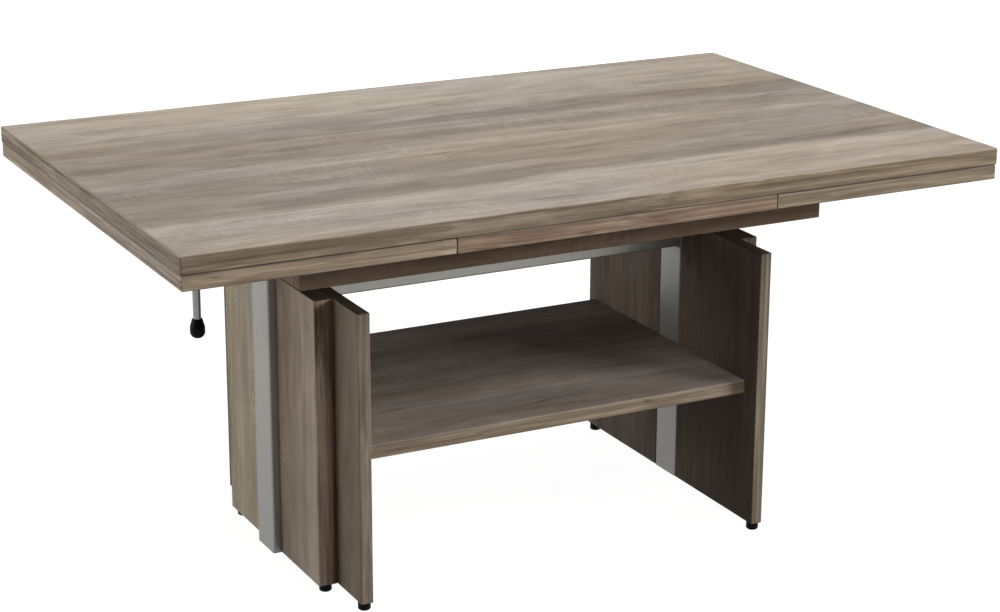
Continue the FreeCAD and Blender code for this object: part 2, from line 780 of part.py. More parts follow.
def make_gas_springs():
    """A hollow cylinder on each base plate, with a rod and piston that hang from the bearer's nut."""
    outer, inner = "cylinder_diameter / 2", "cylinder_diameter / 2 - cylinder_wall"
    rod, rod_bore = "rod_diameter / 2", "rod_diameter / 2 + rod_play"
    pin_bore = "pin_diameter / 2 + pin_play"
    for side, sign in (("left", -1), ("right", 1)):
        cylinder = turned(f"{side}_gas_cylinder", [
            ("0", "glide_height"),
            ("stud_diameter / 2", "glide_height"),
            ("stud_diameter / 2", "column_floor"),
            (outer, "column_floor"),
            (outer, "cylinder_top"),
            (rod_bore, "cylinder_top"),
            (rod_bore, "cylinder_top - cylinder_guide"),
            (inner, "cylinder_top - cylinder_guide"),
            (inner, "cylinder_floor"),
            ("0", "cylinder_floor"),
        ])
        rod_top = [(rod, "rod_top"), ("0", "rod_top")]
        if side == "left":
            bore_floor = "pin_low - pin_bore_spare"
            rod_top = [(rod, "rod_top"), (pin_bore, "rod_top"), (pin_bore, bore_floor), ("0", bore_floor)]
        piston = turned(f"{side}_gas_rod", [
            ("0", "piston_low"),
            ("piston_radius", "piston_low"),
            ("piston_radius", "piston_low + piston_height"),
            (rod, "piston_low + piston_height"),
            *rod_top,
        ])
        for body in (cylinder, piston):
            place(body, f"{sign} * spring_axis")
            keep(body, body.Name)


def make_release_pin():
    """Pin in the left rod that opens the gas spring's valve when it is pressed down."""
    pin = turned("release_pin", [
        ("0", "pin_low"),
        ("pin_diameter / 2", "pin_low"),
        ("pin_diameter / 2", "pin_top - pin_chamfer"),
        ("pin_diameter / 2 - pin_chamfer", "pin_top"),
        ("0", "pin_top"),
    ])
    place(pin, "-spring_axis")
    keep(pin, "release_pin")


def bar_along_x(name, diameter, length, x, y, z):
    bar = round_bar(name, diameter, length, x, y, z)
    bar.Placement.Rotation = FreeCAD.Rotation(FRONT_TO_BACK, 90)
    return bar


def make_sync_shaft():
    half = "gear_far_side + shaft_tail"
    shaft = bar_along_x("sync_shaft", "shaft_diameter", f"2 * ({half})", f"-({half})", "0", "rail_axis")
    keep(shaft, "sync_shaft")
    bore = "shaft_diameter / 2 + shaft_play"
    nose = "leg_inside + column_wall + bearing_nose"
    bearing = turned("shaft_bearing", [
        ("leg_inside - bearing_flange", bore),
        ("leg_inside - bearing_flange", "bearing_flange_diameter / 2"),
        ("leg_inside", "bearing_flange_diameter / 2"),
        ("leg_inside", "bearing_diameter / 2"),
        (nose, "bearing_diameter / 2"),
        (nose, bore),
    ], "H_Axis")
    place(bearing, z="rail_axis")
    keep(pair(bearing, ACROSS), "shaft_bearings")


def involute(angle):
    return math.tan(angle) - angle


def pinion_outline(pitch_radius):
    """Points round the pinion as (along Y, along Z), with one tooth pointing along +Y."""
    teeth = int(value("pinion_teeth"))
    pressure = math.radians(value("pressure_angle"))
    base_radius = pitch_radius * math.cos(pressure)
    tip_radius = pitch_radius + value("tooth_addendum")
    root_radius = pitch_radius - value("tooth_addendum + tooth_clearance")
    half_tooth = math.pi / (2 * teeth) - value("tooth_backlash") / (4 * pitch_radius) + involute(pressure)
    flank = [(root_radius, half_tooth)]
    for step in range(INVOLUTE_STEPS + 1):
        radius = base_radius + (tip_radius - base_radius) * step / INVOLUTE_STEPS
        flank.append((radius, half_tooth - involute(math.acos(base_radius / radius))))
    points = []
    for tooth in range(teeth):
        middle = 2 * math.pi * tooth / teeth
        points += [(radius, middle - angle) for radius, angle in flank]
        points += [(radius, middle + angle) for radius, angle in reversed(flank)]
    return [(radius * math.cos(angle), radius * math.sin(angle)) for radius, angle in points]


def rack_outline(pitch_radius):
    """Points round the rack as (along Y, along Z) from the shaft's axis, with a tooth gap at Z = 0."""
    pitch = math.pi * value("gear_module")
    slope = math.tan(math.radians(value("pressure_angle")))
    addendum, clearance = value("tooth_addendum"), value("tooth_clearance")
    tip, root = pitch_radius - addendum, pitch_radius + addendum + clearance
    half_pitch_line = pitch / 4 - value("tooth_backlash") / 4
    half_tip = half_pitch_line - addendum * slope
    half_root = half_pitch_line + (addendum + clearance) * slope
    spare = int(value("rack_spare_teeth"))
    lowest = -math.ceil(value("lift_travel") / pitch) - spare
    points = []
    for number in range(lowest, spare):
        middle = (number + 0.5) * pitch
        points += [(root, middle - half_root), (tip, middle - half_tip),
                   (tip, middle + half_tip), (root, middle + half_root)]
    back = value("tube_cavity / 2")
    top, bottom = spare * pitch, lowest * pitch
    return [(root, bottom), *points, (root, top), (back, top), (back, bottom)]


def extruded_along_x(outline, width):
    """Solid of a Y-Z outline, centred on X = 0."""
    corners = [FreeCAD.Vector(-width / 2, y, z) for y, z in outline]
    face = Part.Face(Part.makePolygon([*corners, corners[0]]))
    return face.extrude(FreeCAD.Vector(width, 0, 0))


def make_gears():
    """Pinions on the shaft and the racks on the inner tubes that they mesh with."""
    pitch_radius = value("gear_module * pinion_teeth / 2")
    width = value("gear_width")
    bore = Part.makeCylinder(value("shaft_diameter / 2 + shaft_play"), width,
                             FreeCAD.Vector(-width / 2, 0, 0), ACROSS)
    shapes = {
        "pinion": extruded_along_x(pinion_outline(pitch_radius), width).cut(bore),
        "rack": extruded_along_x(rack_outline(pitch_radius), width),
    }
    for side, sign in (("left", -1), ("right", 1)):
        for name, shape in shapes.items():
            gear = doc.addObject("Part::Feature", f"{side}_{name}")
            gear.Shape = shape
            place(gear, f"{sign} * gear_axis_x", "0", "rail_axis")
            keep(gear, f"{side}_{name}")


def make_lever():
    """Bent rod: a shaft along X through the apron, then straight down to the knob."""
    lever = new_body("release_lever")
    spine = sketch_on(lever, "XZ_Plane", "arm_reach")
    start, corner = ("-lever_inner_end", "lever_axis"), ("-lever_x + lever_bend", "lever_axis")
    bend_end, end = ("-lever_x", "lever_axis - lever_bend"), ("-lever_x", "lever_low")
    vectors = [FreeCAD.Vector(value(x), value(y), 0) for x, y in (start, corner, bend_end, end)]
    radius = value("lever_bend")
    centre = vectors[1] - FreeCAD.Vector(0, radius, 0)
    bend = Part.ArcOfCircle(Part.Circle(centre, FreeCAD.Vector(0, 0, 1), radius), math.pi / 2, math.pi)
    shaft_edge = spine.addGeometry(Part.LineSegment(*vectors[:2]))
    bend_edge = spine.addGeometry(bend)
    drop_edge = spine.addGeometry(Part.LineSegment(*vectors[2:]))
    for edge, end_number, point in ((shaft_edge, 1, start), (shaft_edge, 2, corner),
                                    (drop_edge, 1, bend_end), (drop_edge, 2, end)):
        fix_point(spine, edge, end_number, *point)
    spine.addConstraint(Sketcher.Constraint("Coincident", bend_edge, 1, shaft_edge, 2))
    spine.addConstraint(Sketcher.Constraint("Coincident", bend_edge, 2, drop_edge, 1))
    constraint = spine.addConstraint(Sketcher.Constraint("Radius", bend_edge, radius))
    spine.setExpression(f"Constraints[{constraint}]", linked("lever_bend"))
    profile = sketch_on(lever, "YZ_Plane", "-lever_inner_end")
    draw_circle(profile, "-arm_reach", "lever_axis", "lever_diameter")
    pipe = lever.newObject("PartDesign::AdditivePipe", "lever_pipe")
    pipe.Profile = profile
    pipe.Spine = (spine, ["Edge1", "Edge2", "Edge3"])
    keep(lever, "release_lever")


def make_knob():
    """Knob with a round foot and a tapered shoulder, bored for the end of the lever."""
    top = "knob_low + knob_length"
    knob = turned("lever_knob", [
        ("0", "knob_low"),
        ("knob_diameter / 2", "knob_low"),
        ("knob_diameter / 2", f"{top} - knob_shoulder"),
        ("knob_neck / 2", top),
        ("lever_bore / 2", top),
        ("lever_bore / 2", "lever_low"),
        ("0", "lever_low"),
    ])
    soften(knob, "Fillet", "(knob_diameter - knob_flat) / 2", rims(knob, "knob_diameter"))
    place(knob, "-lever_x", "-arm_reach")
    keep(knob, "lever_knob")


def make_lever_fittings():
    """Release arm, collar and the bush in the left apron board."""
    arm_start = "-spring_axis - arm_width / 2"
    hub_place = (arm_start, "-arm_reach", "lever_axis")
    hub = bar_along_x("arm_hub", "arm_hub_diameter", "arm_width", *hub_place)
    nose = bar_along_x("arm_nose", "arm_nose_diameter", "arm_width", arm_start, "0", "lever_axis")
    bore = bar_along_x("arm_bore", "lever_bore", "arm_width", *hub_place)
    keep(bored(joined(hub, nose), bore), "release_arm")

    collar_place = ("-apron_inside_x + collar_play", "-arm_reach", "lever_axis")
    ring = bar_along_x("collar_ring", "collar_diameter", "collar_width", *collar_place)
    bore = bar_along_x("collar_bore", "lever_bore", "collar_width", *collar_place)
    keep(bored(ring, bore), "lever_collar")

    outside, radius = "-apron_half_length", "lever_bore / 2"
    bush = turned("lever_bush", [
        (f"{outside} - lever_bush_flange", radius),
        (f"{outside} - lever_bush_flange", "lever_bush_flange_diameter / 2"),
        (outside, "lever_bush_flange_diameter / 2"),
        (outside, "lever_bush_diameter / 2"),
        ("-apron_inside_x", "lever_bush_diameter / 2"),
        ("-apron_inside_x", radius),
    ], "H_Axis")
    place(bush, y="-arm_reach", z="lever_axis")
    keep(bush, "lever_bush")


def write_pieces():
    """Check every object of the document, then write each sub-part to its file."""
    doc.recompute()
    for item in doc.Objects:
        if "Invalid" in item.State or "Error" in item.State:
            raise RuntimeError(f"{item.Label} failed: {item.State}")
    for piece in pieces:
        if piece.Shape.isNull() or not piece.Shape.isValid():
            raise RuntimeError(f"{piece.Label} has no valid shape")
    os.makedirs("parts", exist_ok=True)
    for piece in pieces:
        piece.Shape.exportStep(f"parts/{piece.Label}.step")
        print(piece.Label, len(piece.Shape.Solids), "solid(s)", round(piece.Shape.Volume / 1000, 2), "cm3")


make_top()
make_leaf("left", -1)
make_leaf("right", 1)
make_loper_guides()
make_apron()
make_leg_panels()
make_foot_glides()
make_shelf()
make_columns()
make_column_fittings()
make_cross_rail()
make_inner_tubes()
make_lift_heads()
make_fasteners()
make_gas_springs()
make_release_pin()
make_sync_shaft()
make_gears()
make_lever()
make_knob()
make_lever_fittings()
write_pieces()
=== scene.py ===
import json
import math

import bmesh
import bpy
from mathutils import Matrix, Vector


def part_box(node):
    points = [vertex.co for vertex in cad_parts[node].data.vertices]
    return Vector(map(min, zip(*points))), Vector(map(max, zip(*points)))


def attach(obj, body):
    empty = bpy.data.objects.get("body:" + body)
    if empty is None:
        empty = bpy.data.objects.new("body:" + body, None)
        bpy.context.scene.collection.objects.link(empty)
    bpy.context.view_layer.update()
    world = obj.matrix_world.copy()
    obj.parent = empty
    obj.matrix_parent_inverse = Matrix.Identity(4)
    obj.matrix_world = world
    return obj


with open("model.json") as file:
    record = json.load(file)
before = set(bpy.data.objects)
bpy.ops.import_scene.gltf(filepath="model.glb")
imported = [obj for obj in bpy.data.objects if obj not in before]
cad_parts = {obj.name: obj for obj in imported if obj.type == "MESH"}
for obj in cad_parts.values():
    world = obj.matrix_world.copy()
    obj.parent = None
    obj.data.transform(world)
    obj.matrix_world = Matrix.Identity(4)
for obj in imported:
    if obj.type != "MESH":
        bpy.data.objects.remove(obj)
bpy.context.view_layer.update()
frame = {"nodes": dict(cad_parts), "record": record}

X, Y, Z = 0, 1, 2
SIDES = (-1, 1)
CORNERS = [(x_sign, y_sign) for x_sign in SIDES for y_sign in SIDES]
MM_PER_M = 1000


def srgb(red, green, blue):
    """Linear colour, with alpha, of a 0 to 255 screen colour."""
    channels = [channel / 255 for channel in (red, green, blue)]
    linear = [c / 12.92 if c <= 0.04045 else ((c + 0.055) / 1.055) ** 2.4 for c in channels]
    return (*linear, 1.0)


# Range that holds most values of a noise, and the darkest and lightest tone of each plain finish.
NOISE_SPAN = (0.3, 0.7)
SILVER_TONES = (srgb(168, 168, 164), srgb(192, 192, 187))
STEEL_TONES = (srgb(138, 138, 136), srgb(172, 172, 169))
BLACK_PAINT_TONES = (srgb(28, 28, 30), srgb(44, 44, 46))
PLASTIC_TONES = (srgb(4, 4, 5), srgb(9, 9, 10))
RUBBER_TONES = (srgb(24, 24, 24), srgb(36, 35, 34))
BEECH_TONES = (srgb(186, 142, 100), srgb(214, 176, 134))
BEECH_FLECK = srgb(140, 94, 60)

# Noise scales per metre: flakes and orange peel of the silver coat, lines of the steel, grain of beech.
FLAKE_SCALE, PEEL_SCALE = (2600, 2600, 2600), (420, 420, 420)
STEEL_SCALE, STEEL_SCALE_ALONG = (420, 420, 420), 9
BEECH_SCALE, BEECH_FLECK_SCALE = (5, 180, 180), (160, 1500, 1500)

# Roughness over the noise's range; for metal and plastic as steps from the roughness asked for.
SILVER_ROUGHNESS = (0.38, 0.5)
BEECH_ROUGHNESS = (0.6, 0.48)
METAL_ROUGHNESS_STEPS = (-0.06, 0.08)
PLASTIC_ROUGHNESS_STEPS = (-0.06, 0.06)

OAK_PORE = srgb(78, 67, 58)
OAK_SAWN = srgb(212, 203, 190)
OAK_TONES = [(0.38, srgb(108, 98, 89)), (0.5, srgb(136, 127, 118)), (0.62, srgb(166, 158, 148))]
OAK_HUES = [(0.36, (0.98, 0.97, 1.01, 1)), (0.64, (1.03, 1.0, 0.93, 1))]
OAK_ROUGHNESS = (0.78, 0.7)
OAK_GLOSS = 0.35

# Noises of the oak decor: scale per metre along and across the grain, and the noise's settings.
OAK_PATTERNS = {
    "bends": (2.4, 7, {"detail": 2.0}),
    "broad": (0.8, 9, {"detail": 1.0, "roughness": 0.4}),
    "wander": (2.2, 5, {"detail": 2.0}),
    "flames": (1.1, 26, {"detail": 3.0, "roughness": 0.55}),
    "streaks": (2.6, 150, {"detail": 3.0, "roughness": 0.6}),
    "mottles": (12, 42, {"detail": 3.0, "roughness": 0.6, "distortion": 0.6}),
    "fibres": (18, 640, {"detail": 3.0, "roughness": 0.6}),
    "pores": (60, 1500, {"detail": 1.0}),
    "hues": (2.5, 9, {"detail": 3.0}),
    "cracks": (1.5, 34, {"detail": 2.0}),
    "crack_patches": (4, 22, {"detail": 1.0}),
    "saw_marks": (330, 36, {"detail": 2.0, "roughness": 0.6}),
    "saw_patches": (5, 13, {"detail": 2.0}),
}
# Shares of the patterns in a face's lightness, and of their sums and the streaks in an edge's.
FACE_SHARES = {"broad": 0.45, "flames": 0.2, "mottles": 0.2, "streaks": 0.15}
EDGE_SHARES = {"large": 0.3, "fine": 0.7, "streaks": 0.56}
# How far the grain may bend, in metres, and the bands may wander, as a share of a board's width.
BEND_PUSH, BAND_WANDER = 0.07, 0.1
# The decor's scale through a board's thickness, against that across its width.
THICKNESS_SCALE = 1.3
# A surface faces along an axis if its normal has more than this share of it.
FACING_SHARE = 0.7
# Step between the boards' places in the noises.
SEED_STEP = (1.37, 2.11, 0.73)
# Lightness of the fibres, from the darkest to the lightest.
FIBRE_SHADES = (0.92, 1.07)
# Noise values at which the pores, saw marks and patches of marks begin and are full, and their strength.
PORE_SPAN, PORE_STRENGTH = (0.64, 0.78), 0.35
SAW_SPAN, SAW_PATCH_SPAN, SAW_STRENGTH = (0.47, 0.66), (0.5, 0.66), 0.15
CRACK_PATCH_SPAN, CRACK_STRENGTH = (0.5, 0.62), 0.5
# Steps from the noise's middle value within which a crack is full and beyond which it is gone.
CRACK_SPAN = (0.002, 0.012)

# Tone across a board's width, from its rear edge (0) to its front edge (1). On the top these are the
# decor's broad bands, and its lighter rear strip is partly painted sheen; on the left front outer panel
# they are a painted shadow of the column, darkest at the rear edge beside it.
BOARD_BANDS_AND_SHADE = {
    "table_top": [(0.0, 0.64), (0.19, 0.62), (0.3, 0.43), (0.46, 0.42), (0.53, 0.54), (0.6, 0.49),
                  (0.66, 0.41), (0.8, 0.4), (0.83, 0.64), (0.89, 0.58), (1.0, 0.53)],
    "left_front_outer_panel": [(0.0, 0.2), (0.2, 0.26), (0.36, 0.4), (0.6, 0.48), (0.8, 0.62), (1.0, 0.66)],
}

PLAIN = (1, 1, 1, 1)
# Painted light and shade, by the ending of a board's name, on faces, long edges and ends where it isn't
# plain: lighter where a board is to look lit (apron, outer leg faces, leaf ends), darker where it is to
# look shaded (the legs' inner faces, the panels' ends under the top, a recessed panel edge). The top's
# browner long edges are partly the edge bands' own colour.
BOARD_PAINTED_LIGHT = {
    "table_top": {"edge": (0.96, 0.94, 0.85, 1), "end": (1.5, 1.54, 1.48, 1)},
    "left_leaf": {"edge": (1.52, 1.5, 1.36, 1), "end": (2.2, 2.26, 2.2, 1)},
    "right_leaf": {"edge": (1.08, 1.08, 1.0, 1), "end": (1.5, 1.54, 1.48, 1)},
    "centre_board": {"edge": (1.2, 1.05, 0.92, 1)},
    "apron_front": {"face": (1.55, 1.33, 1.18, 1), "end": (1.45, 1.2, 1.1, 1)},
    "apron_left": {"face": (1.55, 1.33, 1.18, 1)},
    "outer_panel": {"edge": (1.6, 1.42, 1.25, 1), "end": (0.32, 0.27, 0.23, 1)},
    "left_front_outer_panel": {"face": (1.87, 1.85, 1.74, 1), "edge": (2.3, 2.06, 1.85, 1)},
    "left_rear_outer_panel": {"face": (2.0, 2.1, 1.92, 1)},
    "right_front_outer_panel": {"face": (1.4, 1.4, 1.3, 1), "edge": (0.8, 0.72, 0.67, 1)},
    "right_rear_outer_panel": {"face": (1.5, 1.52, 1.4, 1)},
    "inner_panel": {"end": (0.32, 0.27, 0.23, 1)},
    "left_front_inner_panel": {"face": (0.86, 0.84, 0.76, 1), "edge": (0.93, 0.92, 0.92, 1)},
    "right_front_inner_panel": {"face": (0.78, 0.7, 0.67, 1), "edge": (0.9, 0.9, 0.88, 1)},
    "right_rear_inner_panel": {"face": (0.83, 0.78, 0.75, 1)},
    "shelf": {"face": (1.05, 1.1, 1.2, 1), "edge": (1.12, 1.1, 1.04, 1)},
}

# Cross-recessed pan head in millimetres: angles of one quarter, the recess's radius there, and its rings.
SCREW_ANGLES = (-10, 10, 27.5, 45, 62.5)
RECESS_RADII = (2.03, 2.03, 0.76, 0.5, 0.76)
HEAD_RINGS = ((3.6, -0.2), (3.6, 0.5), (3.15, 1.4), (2.4, 1.95))
RECESS_RINGS = ((1.0, 2.0), (0.7, 0.7))

# Brackets, blocks and screws in millimetres: a step is half a pair's distance, a drop is from the top.
BRACKET_WIDTH, BRACKET_THICKNESS = 36, 2.5
BEARER_SCREW_INSET = 15
APRON_SCREW_STEP, APRON_SCREW_DROP = 10, 10
BLOCK_LEG, BLOCK_SCREW_STEP, BLOCK_SCREW_DROP = 22, 5, 13
STOP_SCREW_STEP = 5

# Fillet welds in millimetres: leg lengths, gaps at their ends, and how deep the root lies in the steel.
RAIL_WELD_LEG, RAIL_WELD_GAP = 4, 3
HEAD_WELD_LEG, HEAD_WELD_GAP = 3.5, 2
WELD_SINK = 0.3
# Rings of points per millimetre of weld, the ripple's share of the leg and turn per ring, and the bulge.
WELD_RINGS_PER_MM, WELD_RIPPLE, RIPPLE_TURN, WELD_BULGE = 2, 0.1, 1.3, 0.62

# Camera of the photograph: place in metres, angles in degrees, and focal length in pixels of its frame.
CAMERA_PLACE = (-1.3827, -2.6964, 1.2479)
CAMERA_YAW, CAMERA_PITCH, CAMERA_ROLL = 27.367, 17.529, 0.231
FOCAL_PIXELS, IMAGE_WIDTH, SENSOR_WIDTH = 2405.6, 1000, 36.0

# Floor in metres, a little under the glides, and its glow in reflections and in view.
FLOOR_RADIUS, FLOOR_HEIGHT = 40, -0.0005
FLOOR_GLOW = (0.55, 0.96)


def new_material(name):
    """New material with its node tree and its shader."""
    material = bpy.data.materials.new(name)
    material.use_nodes = True
    tree = material.node_tree
    return material, tree, tree.nodes["Principled BSDF"]


def set_inputs(tree, item, inputs):
    """Inputs of a node, each given as a socket to link or as a fixed value."""
    for name, source in inputs.items():
        if isinstance(source, bpy.types.NodeSocket):
            tree.links.new(source, item.inputs[name])
        else:
            item.inputs[name].default_value = source


def add_node(tree, kind, inputs, **settings):
    """New node with its settings and its inputs."""
    item = tree.nodes.new(kind)
    for name, setting in settings.items():
        setattr(item, name, setting)
    set_inputs(tree, item, inputs)
    return item


def calculate(tree, operation, first, second=0.0):
    """Result of an operation on one or two values."""
    return add_node(tree, "ShaderNodeMath", {0: first, 1: second}, operation=operation).outputs[0]


def weighted_sum(tree, *terms):
    """Sum of socket times weight."""
    total = 0.0
    for socket, weight in terms:
        inputs = {0: socket, 1: weight, 2: total}
        total = add_node(tree, "ShaderNodeMath", inputs, operation="MULTIPLY_ADD").outputs[0]
    return total


def scaled(tree, vector, factors, shift=(0, 0, 0)):
    """Vector times the factors, plus the shift."""
    inputs = {0: vector, 1: factors, 2: shift}
    return add_node(tree, "ShaderNodeVectorMath", inputs, operation="MULTIPLY_ADD").outputs[0]


def separated(tree, vector):
    """The three values of a vector."""
    return add_node(tree, "ShaderNodeSeparateXYZ", {0: vector}).outputs


def combined(tree, first, second, third):
    """Vector of three values."""
    return add_node(tree, "ShaderNodeCombineXYZ", {0: first, 1: second, 2: third}).outputs[0]


def object_point(tree):
    """Point on a piece in the piece's own frame."""
    return add_node(tree, "ShaderNodeTexCoord", {}).outputs["Object"]


def noise(tree, vector, detail=2.0, roughness=0.5, distortion=0.0):
    """Noise value at a vector that is scaled already."""
    inputs = {"Vector": vector, "Scale": 1.0, "Detail": detail,
              "Roughness": roughness, "Distortion": distortion}
    return add_node(tree, "ShaderNodeTexNoise", inputs).outputs["Fac"]


def ramp(tree, factor, stops):
    """Colour ramp through (position, colour) stops in rising order."""
    item = add_node(tree, "ShaderNodeValToRGB", {"Fac": factor})
    elements = item.color_ramp.elements
    for position, colour in stops[1:-1]:
        elements.new(position).color = colour
    for element, (position, colour) in ((elements[0], stops[0]), (elements[-1], stops[-1])):
        element.position = position
        element.color = colour
    return item.outputs["Color"]


def toned(tree, factor, tones):
    """Colour from a dark to a light tone over most of a noise's range."""
    return ramp(tree, factor, list(zip(NOISE_SPAN, tones)))


def spread(tree, factor, span, values=(0.0, 1.0)):
    """Clamped straight map of a factor's span to values."""
    inputs = {"Value": factor, "From Min": span[0], "From Max": span[1],
              "To Min": values[0], "To Max": values[1]}
    return add_node(tree, "ShaderNodeMapRange", inputs).outputs["Result"]


# Places of a Mix node's first and second input and of its result, by the kind of value.
MIX_SOCKETS = {"FLOAT": (2, 3, 0), "VECTOR": (4, 5, 1), "RGBA": (6, 7, 2)}


def mix(tree, factor, first, second, kind="RGBA", blend="MIX"):
    """First value where the factor is 0, blended with the second where it is 1."""
    first_place, second_place, result_place = MIX_SOCKETS[kind]
    inputs = {0: factor, first_place: first, second_place: second}
    item = add_node(tree, "ShaderNodeMix", inputs, data_type=kind, blend_type=blend)
    return item.outputs[result_place]


def multiplied(tree, first, second):
    """Product of two colours."""
    return mix(tree, 1.0, first, second, blend="MULTIPLY")


def bump(tree, height, strength, distance):
    """Normal of a surface with a fine relief, whose distance is in metres."""
    inputs = {"Height": height, "Strength": strength, "Distance": distance}
    return add_node(tree, "ShaderNodeBump", inputs).outputs["Normal"]


def board_point(tree, grain, width):
    """Point on a board with the grain along its first axis; on the board's ends the grain runs across."""
    thickness = X + Y + Z - grain - width
    coords = add_node(tree, "ShaderNodeTexCoord", {}).outputs
    place = separated(tree, coords["Object"])
    facing = separated(tree, coords["Normal"])
    depth = calculate(tree, "MULTIPLY", place[thickness], THICKNESS_SCALE)
    on_face = combined(tree, place[grain], place[width], depth)
    on_end = combined(tree, place[width], place[grain], depth)
    is_end = calculate(tree, "GREATER_THAN", calculate(tree, "ABSOLUTE", facing[grain]), FACING_SHARE)
    is_edge = calculate(tree, "LESS_THAN", calculate(tree, "ABSOLUTE", facing[thickness]), FACING_SHARE)
    return mix(tree, is_end, on_face, on_end, kind="VECTOR"), is_edge, is_end


def oak_pattern(tree, name, point, shift=(0, 0, 0)):
    """Noise of the decor, stretched along the grain."""
    along, across, settings = OAK_PATTERNS[name]
    return noise(tree, scaled(tree, point, (along, across, across), shift), **settings)


def band_and_shade_tone(tree, point, bands, cut):
    """Tone of listed bands across a board, which wander a little along the grain; on some boards the bands
    are painted shadow and sheen.
    """
    from_middle = calculate(tree, "SUBTRACT", separated(tree, point)[1], cut["middle"])
    wander = oak_pattern(tree, "wander", point)
    place = weighted_sum(tree, (from_middle, -1.0 / cut["size"]), (wander, BAND_WANDER))
    centred = calculate(tree, "ADD", place, (1 - BAND_WANDER) / 2)
    return ramp(tree, centred, [(position, (tone, tone, tone, 1)) for position, tone in bands])


def bent_grain(tree, point, shift):
    """Point pushed across the grain by a slow wave, so that the lines of the decor bend."""
    wave = oak_pattern(tree, "bends", point, shift)
    push = combined(tree, 0.0, calculate(tree, "MULTIPLY", wave, BEND_PUSH), 0.0)
    return add_node(tree, "ShaderNodeVectorMath", {0: point, 1: push}, operation="ADD").outputs[0]


def oak_tone(tree, point, bent, shift, is_edge, broad):
    """Lightness of the decor: broad bands and flames on the faces, mostly narrow lines on the edges."""
    flames = oak_pattern(tree, "flames", bent, shift)
    streaks = oak_pattern(tree, "streaks", bent, shift)
    mottles = oak_pattern(tree, "mottles", point, shift)
    large = weighted_sum(tree, (broad, FACE_SHARES["broad"]), (flames, FACE_SHARES["flames"]))
    fine = weighted_sum(tree, (mottles, FACE_SHARES["mottles"]), (streaks, FACE_SHARES["streaks"]))
    on_face = calculate(tree, "ADD", large, fine)
    on_edge = weighted_sum(tree, (large, EDGE_SHARES["large"]), (fine, EDGE_SHARES["fine"]),
                           (streaks, EDGE_SHARES["streaks"]))
    return mix(tree, is_edge, on_face, on_edge, kind="FLOAT"), streaks


def oak_cracks(tree, bent, shift):
    """Rare thin dark lines along the grain, where a slow pattern crosses its middle value."""
    level = oak_pattern(tree, "cracks", bent, shift)
    nearness = calculate(tree, "ABSOLUTE", calculate(tree, "SUBTRACT", level, 0.5))
    line = spread(tree, nearness, CRACK_SPAN, (1.0, 0.0))
    patches = oak_pattern(tree, "crack_patches", bent, shift)
    return calculate(tree, "MULTIPLY", line, spread(tree, patches, CRACK_PATCH_SPAN, (0.0, CRACK_STRENGTH)))


def oak_grooves(tree, point, bent, shift):
    """Amount of the pores and cracks, which are darker and deeper than the wood around them."""
    pores = oak_pattern(tree, "pores", point, shift)
    pore_amount = spread(tree, pores, PORE_SPAN, (0.0, PORE_STRENGTH))
    return calculate(tree, "MAXIMUM", pore_amount, oak_cracks(tree, bent, shift))


def saw_marks(tree, point, shift, is_edge):
    """Patches of short pale saw marks across the grain, on a board's faces alone."""
    marks = oak_pattern(tree, "saw_marks", point, shift)
    patches = oak_pattern(tree, "saw_patches", point, shift)
    patch_strength = spread(tree, patches, SAW_PATCH_SPAN, (0.0, SAW_STRENGTH))
    amount = calculate(tree, "MULTIPLY", spread(tree, marks, SAW_SPAN), patch_strength)
    return calculate(tree, "MULTIPLY", amount, calculate(tree, "SUBTRACT", 1.0, is_edge))


def make_oak(name, cut, painted_light, bands):
    """Grey-brown oak decor with bent grain lines, fibres, pores, faint saw marks and a few cracks, times
    the board's painted light and shade.
    """
    material, tree, shader = new_material(name)
    point, is_edge, is_end = board_point(tree, cut["grain"], cut["width"])
    shift = tuple(cut["seed"] * step for step in SEED_STEP)
    bent = bent_grain(tree, point, shift)
    # A board with listed bands takes them as its broad tone, and these hold painted shadow and sheen.
    broad = band_and_shade_tone(tree, point, bands, cut) if bands else oak_pattern(tree, "broad", bent, shift)
    tone, streaks = oak_tone(tree, point, bent, shift, is_edge, broad)
    fibres = oak_pattern(tree, "fibres", bent, shift)
    grooves = oak_grooves(tree, point, bent, shift)

    cast = ramp(tree, oak_pattern(tree, "hues", point, shift), OAK_HUES)
    wood = multiplied(tree, ramp(tree, tone, OAK_TONES), cast)
    fibrous = multiplied(tree, wood, spread(tree, fibres, NOISE_SPAN, FIBRE_SHADES))
    sawn = mix(tree, saw_marks(tree, point, shift, is_edge), fibrous, OAK_SAWN)
    pored = mix(tree, grooves, sawn, OAK_PORE)
    # Painted light and shade: the board's faces, long edges and ends made lighter or darker to look lit or
    # shaded.
    painted_shading = mix(tree, is_end, mix(tree, is_edge, painted_light["face"], painted_light["edge"]), painted_light["end"])
    relief = calculate(tree, "SUBTRACT", fibres, grooves)
    set_inputs(tree, shader, {
        "Base Color": multiplied(tree, pored, painted_shading),
        "Roughness": spread(tree, streaks, NOISE_SPAN, OAK_ROUGHNESS),
        "Normal": bump(tree, relief, strength=0.25, distance=0.0004),
        "Specular IOR Level": OAK_GLOSS,
    })
    return material


def make_silver(name, metallic):
    """Silver coat with a fine orange peel, which mirrors its surroundings the more metallic it is."""
    material, tree, shader = new_material(name)
    point = object_point(tree)
    flakes = noise(tree, scaled(tree, point, FLAKE_SCALE), detail=1.0)
    peel = noise(tree, scaled(tree, point, PEEL_SCALE))
    set_inputs(tree, shader, {
        "Base Color": toned(tree, flakes, SILVER_TONES),
        "Roughness": spread(tree, peel, NOISE_SPAN, SILVER_ROUGHNESS),
        "Normal": bump(tree, peel, strength=0.12, distance=0.0003),
        "Metallic": metallic,
    })
    return material


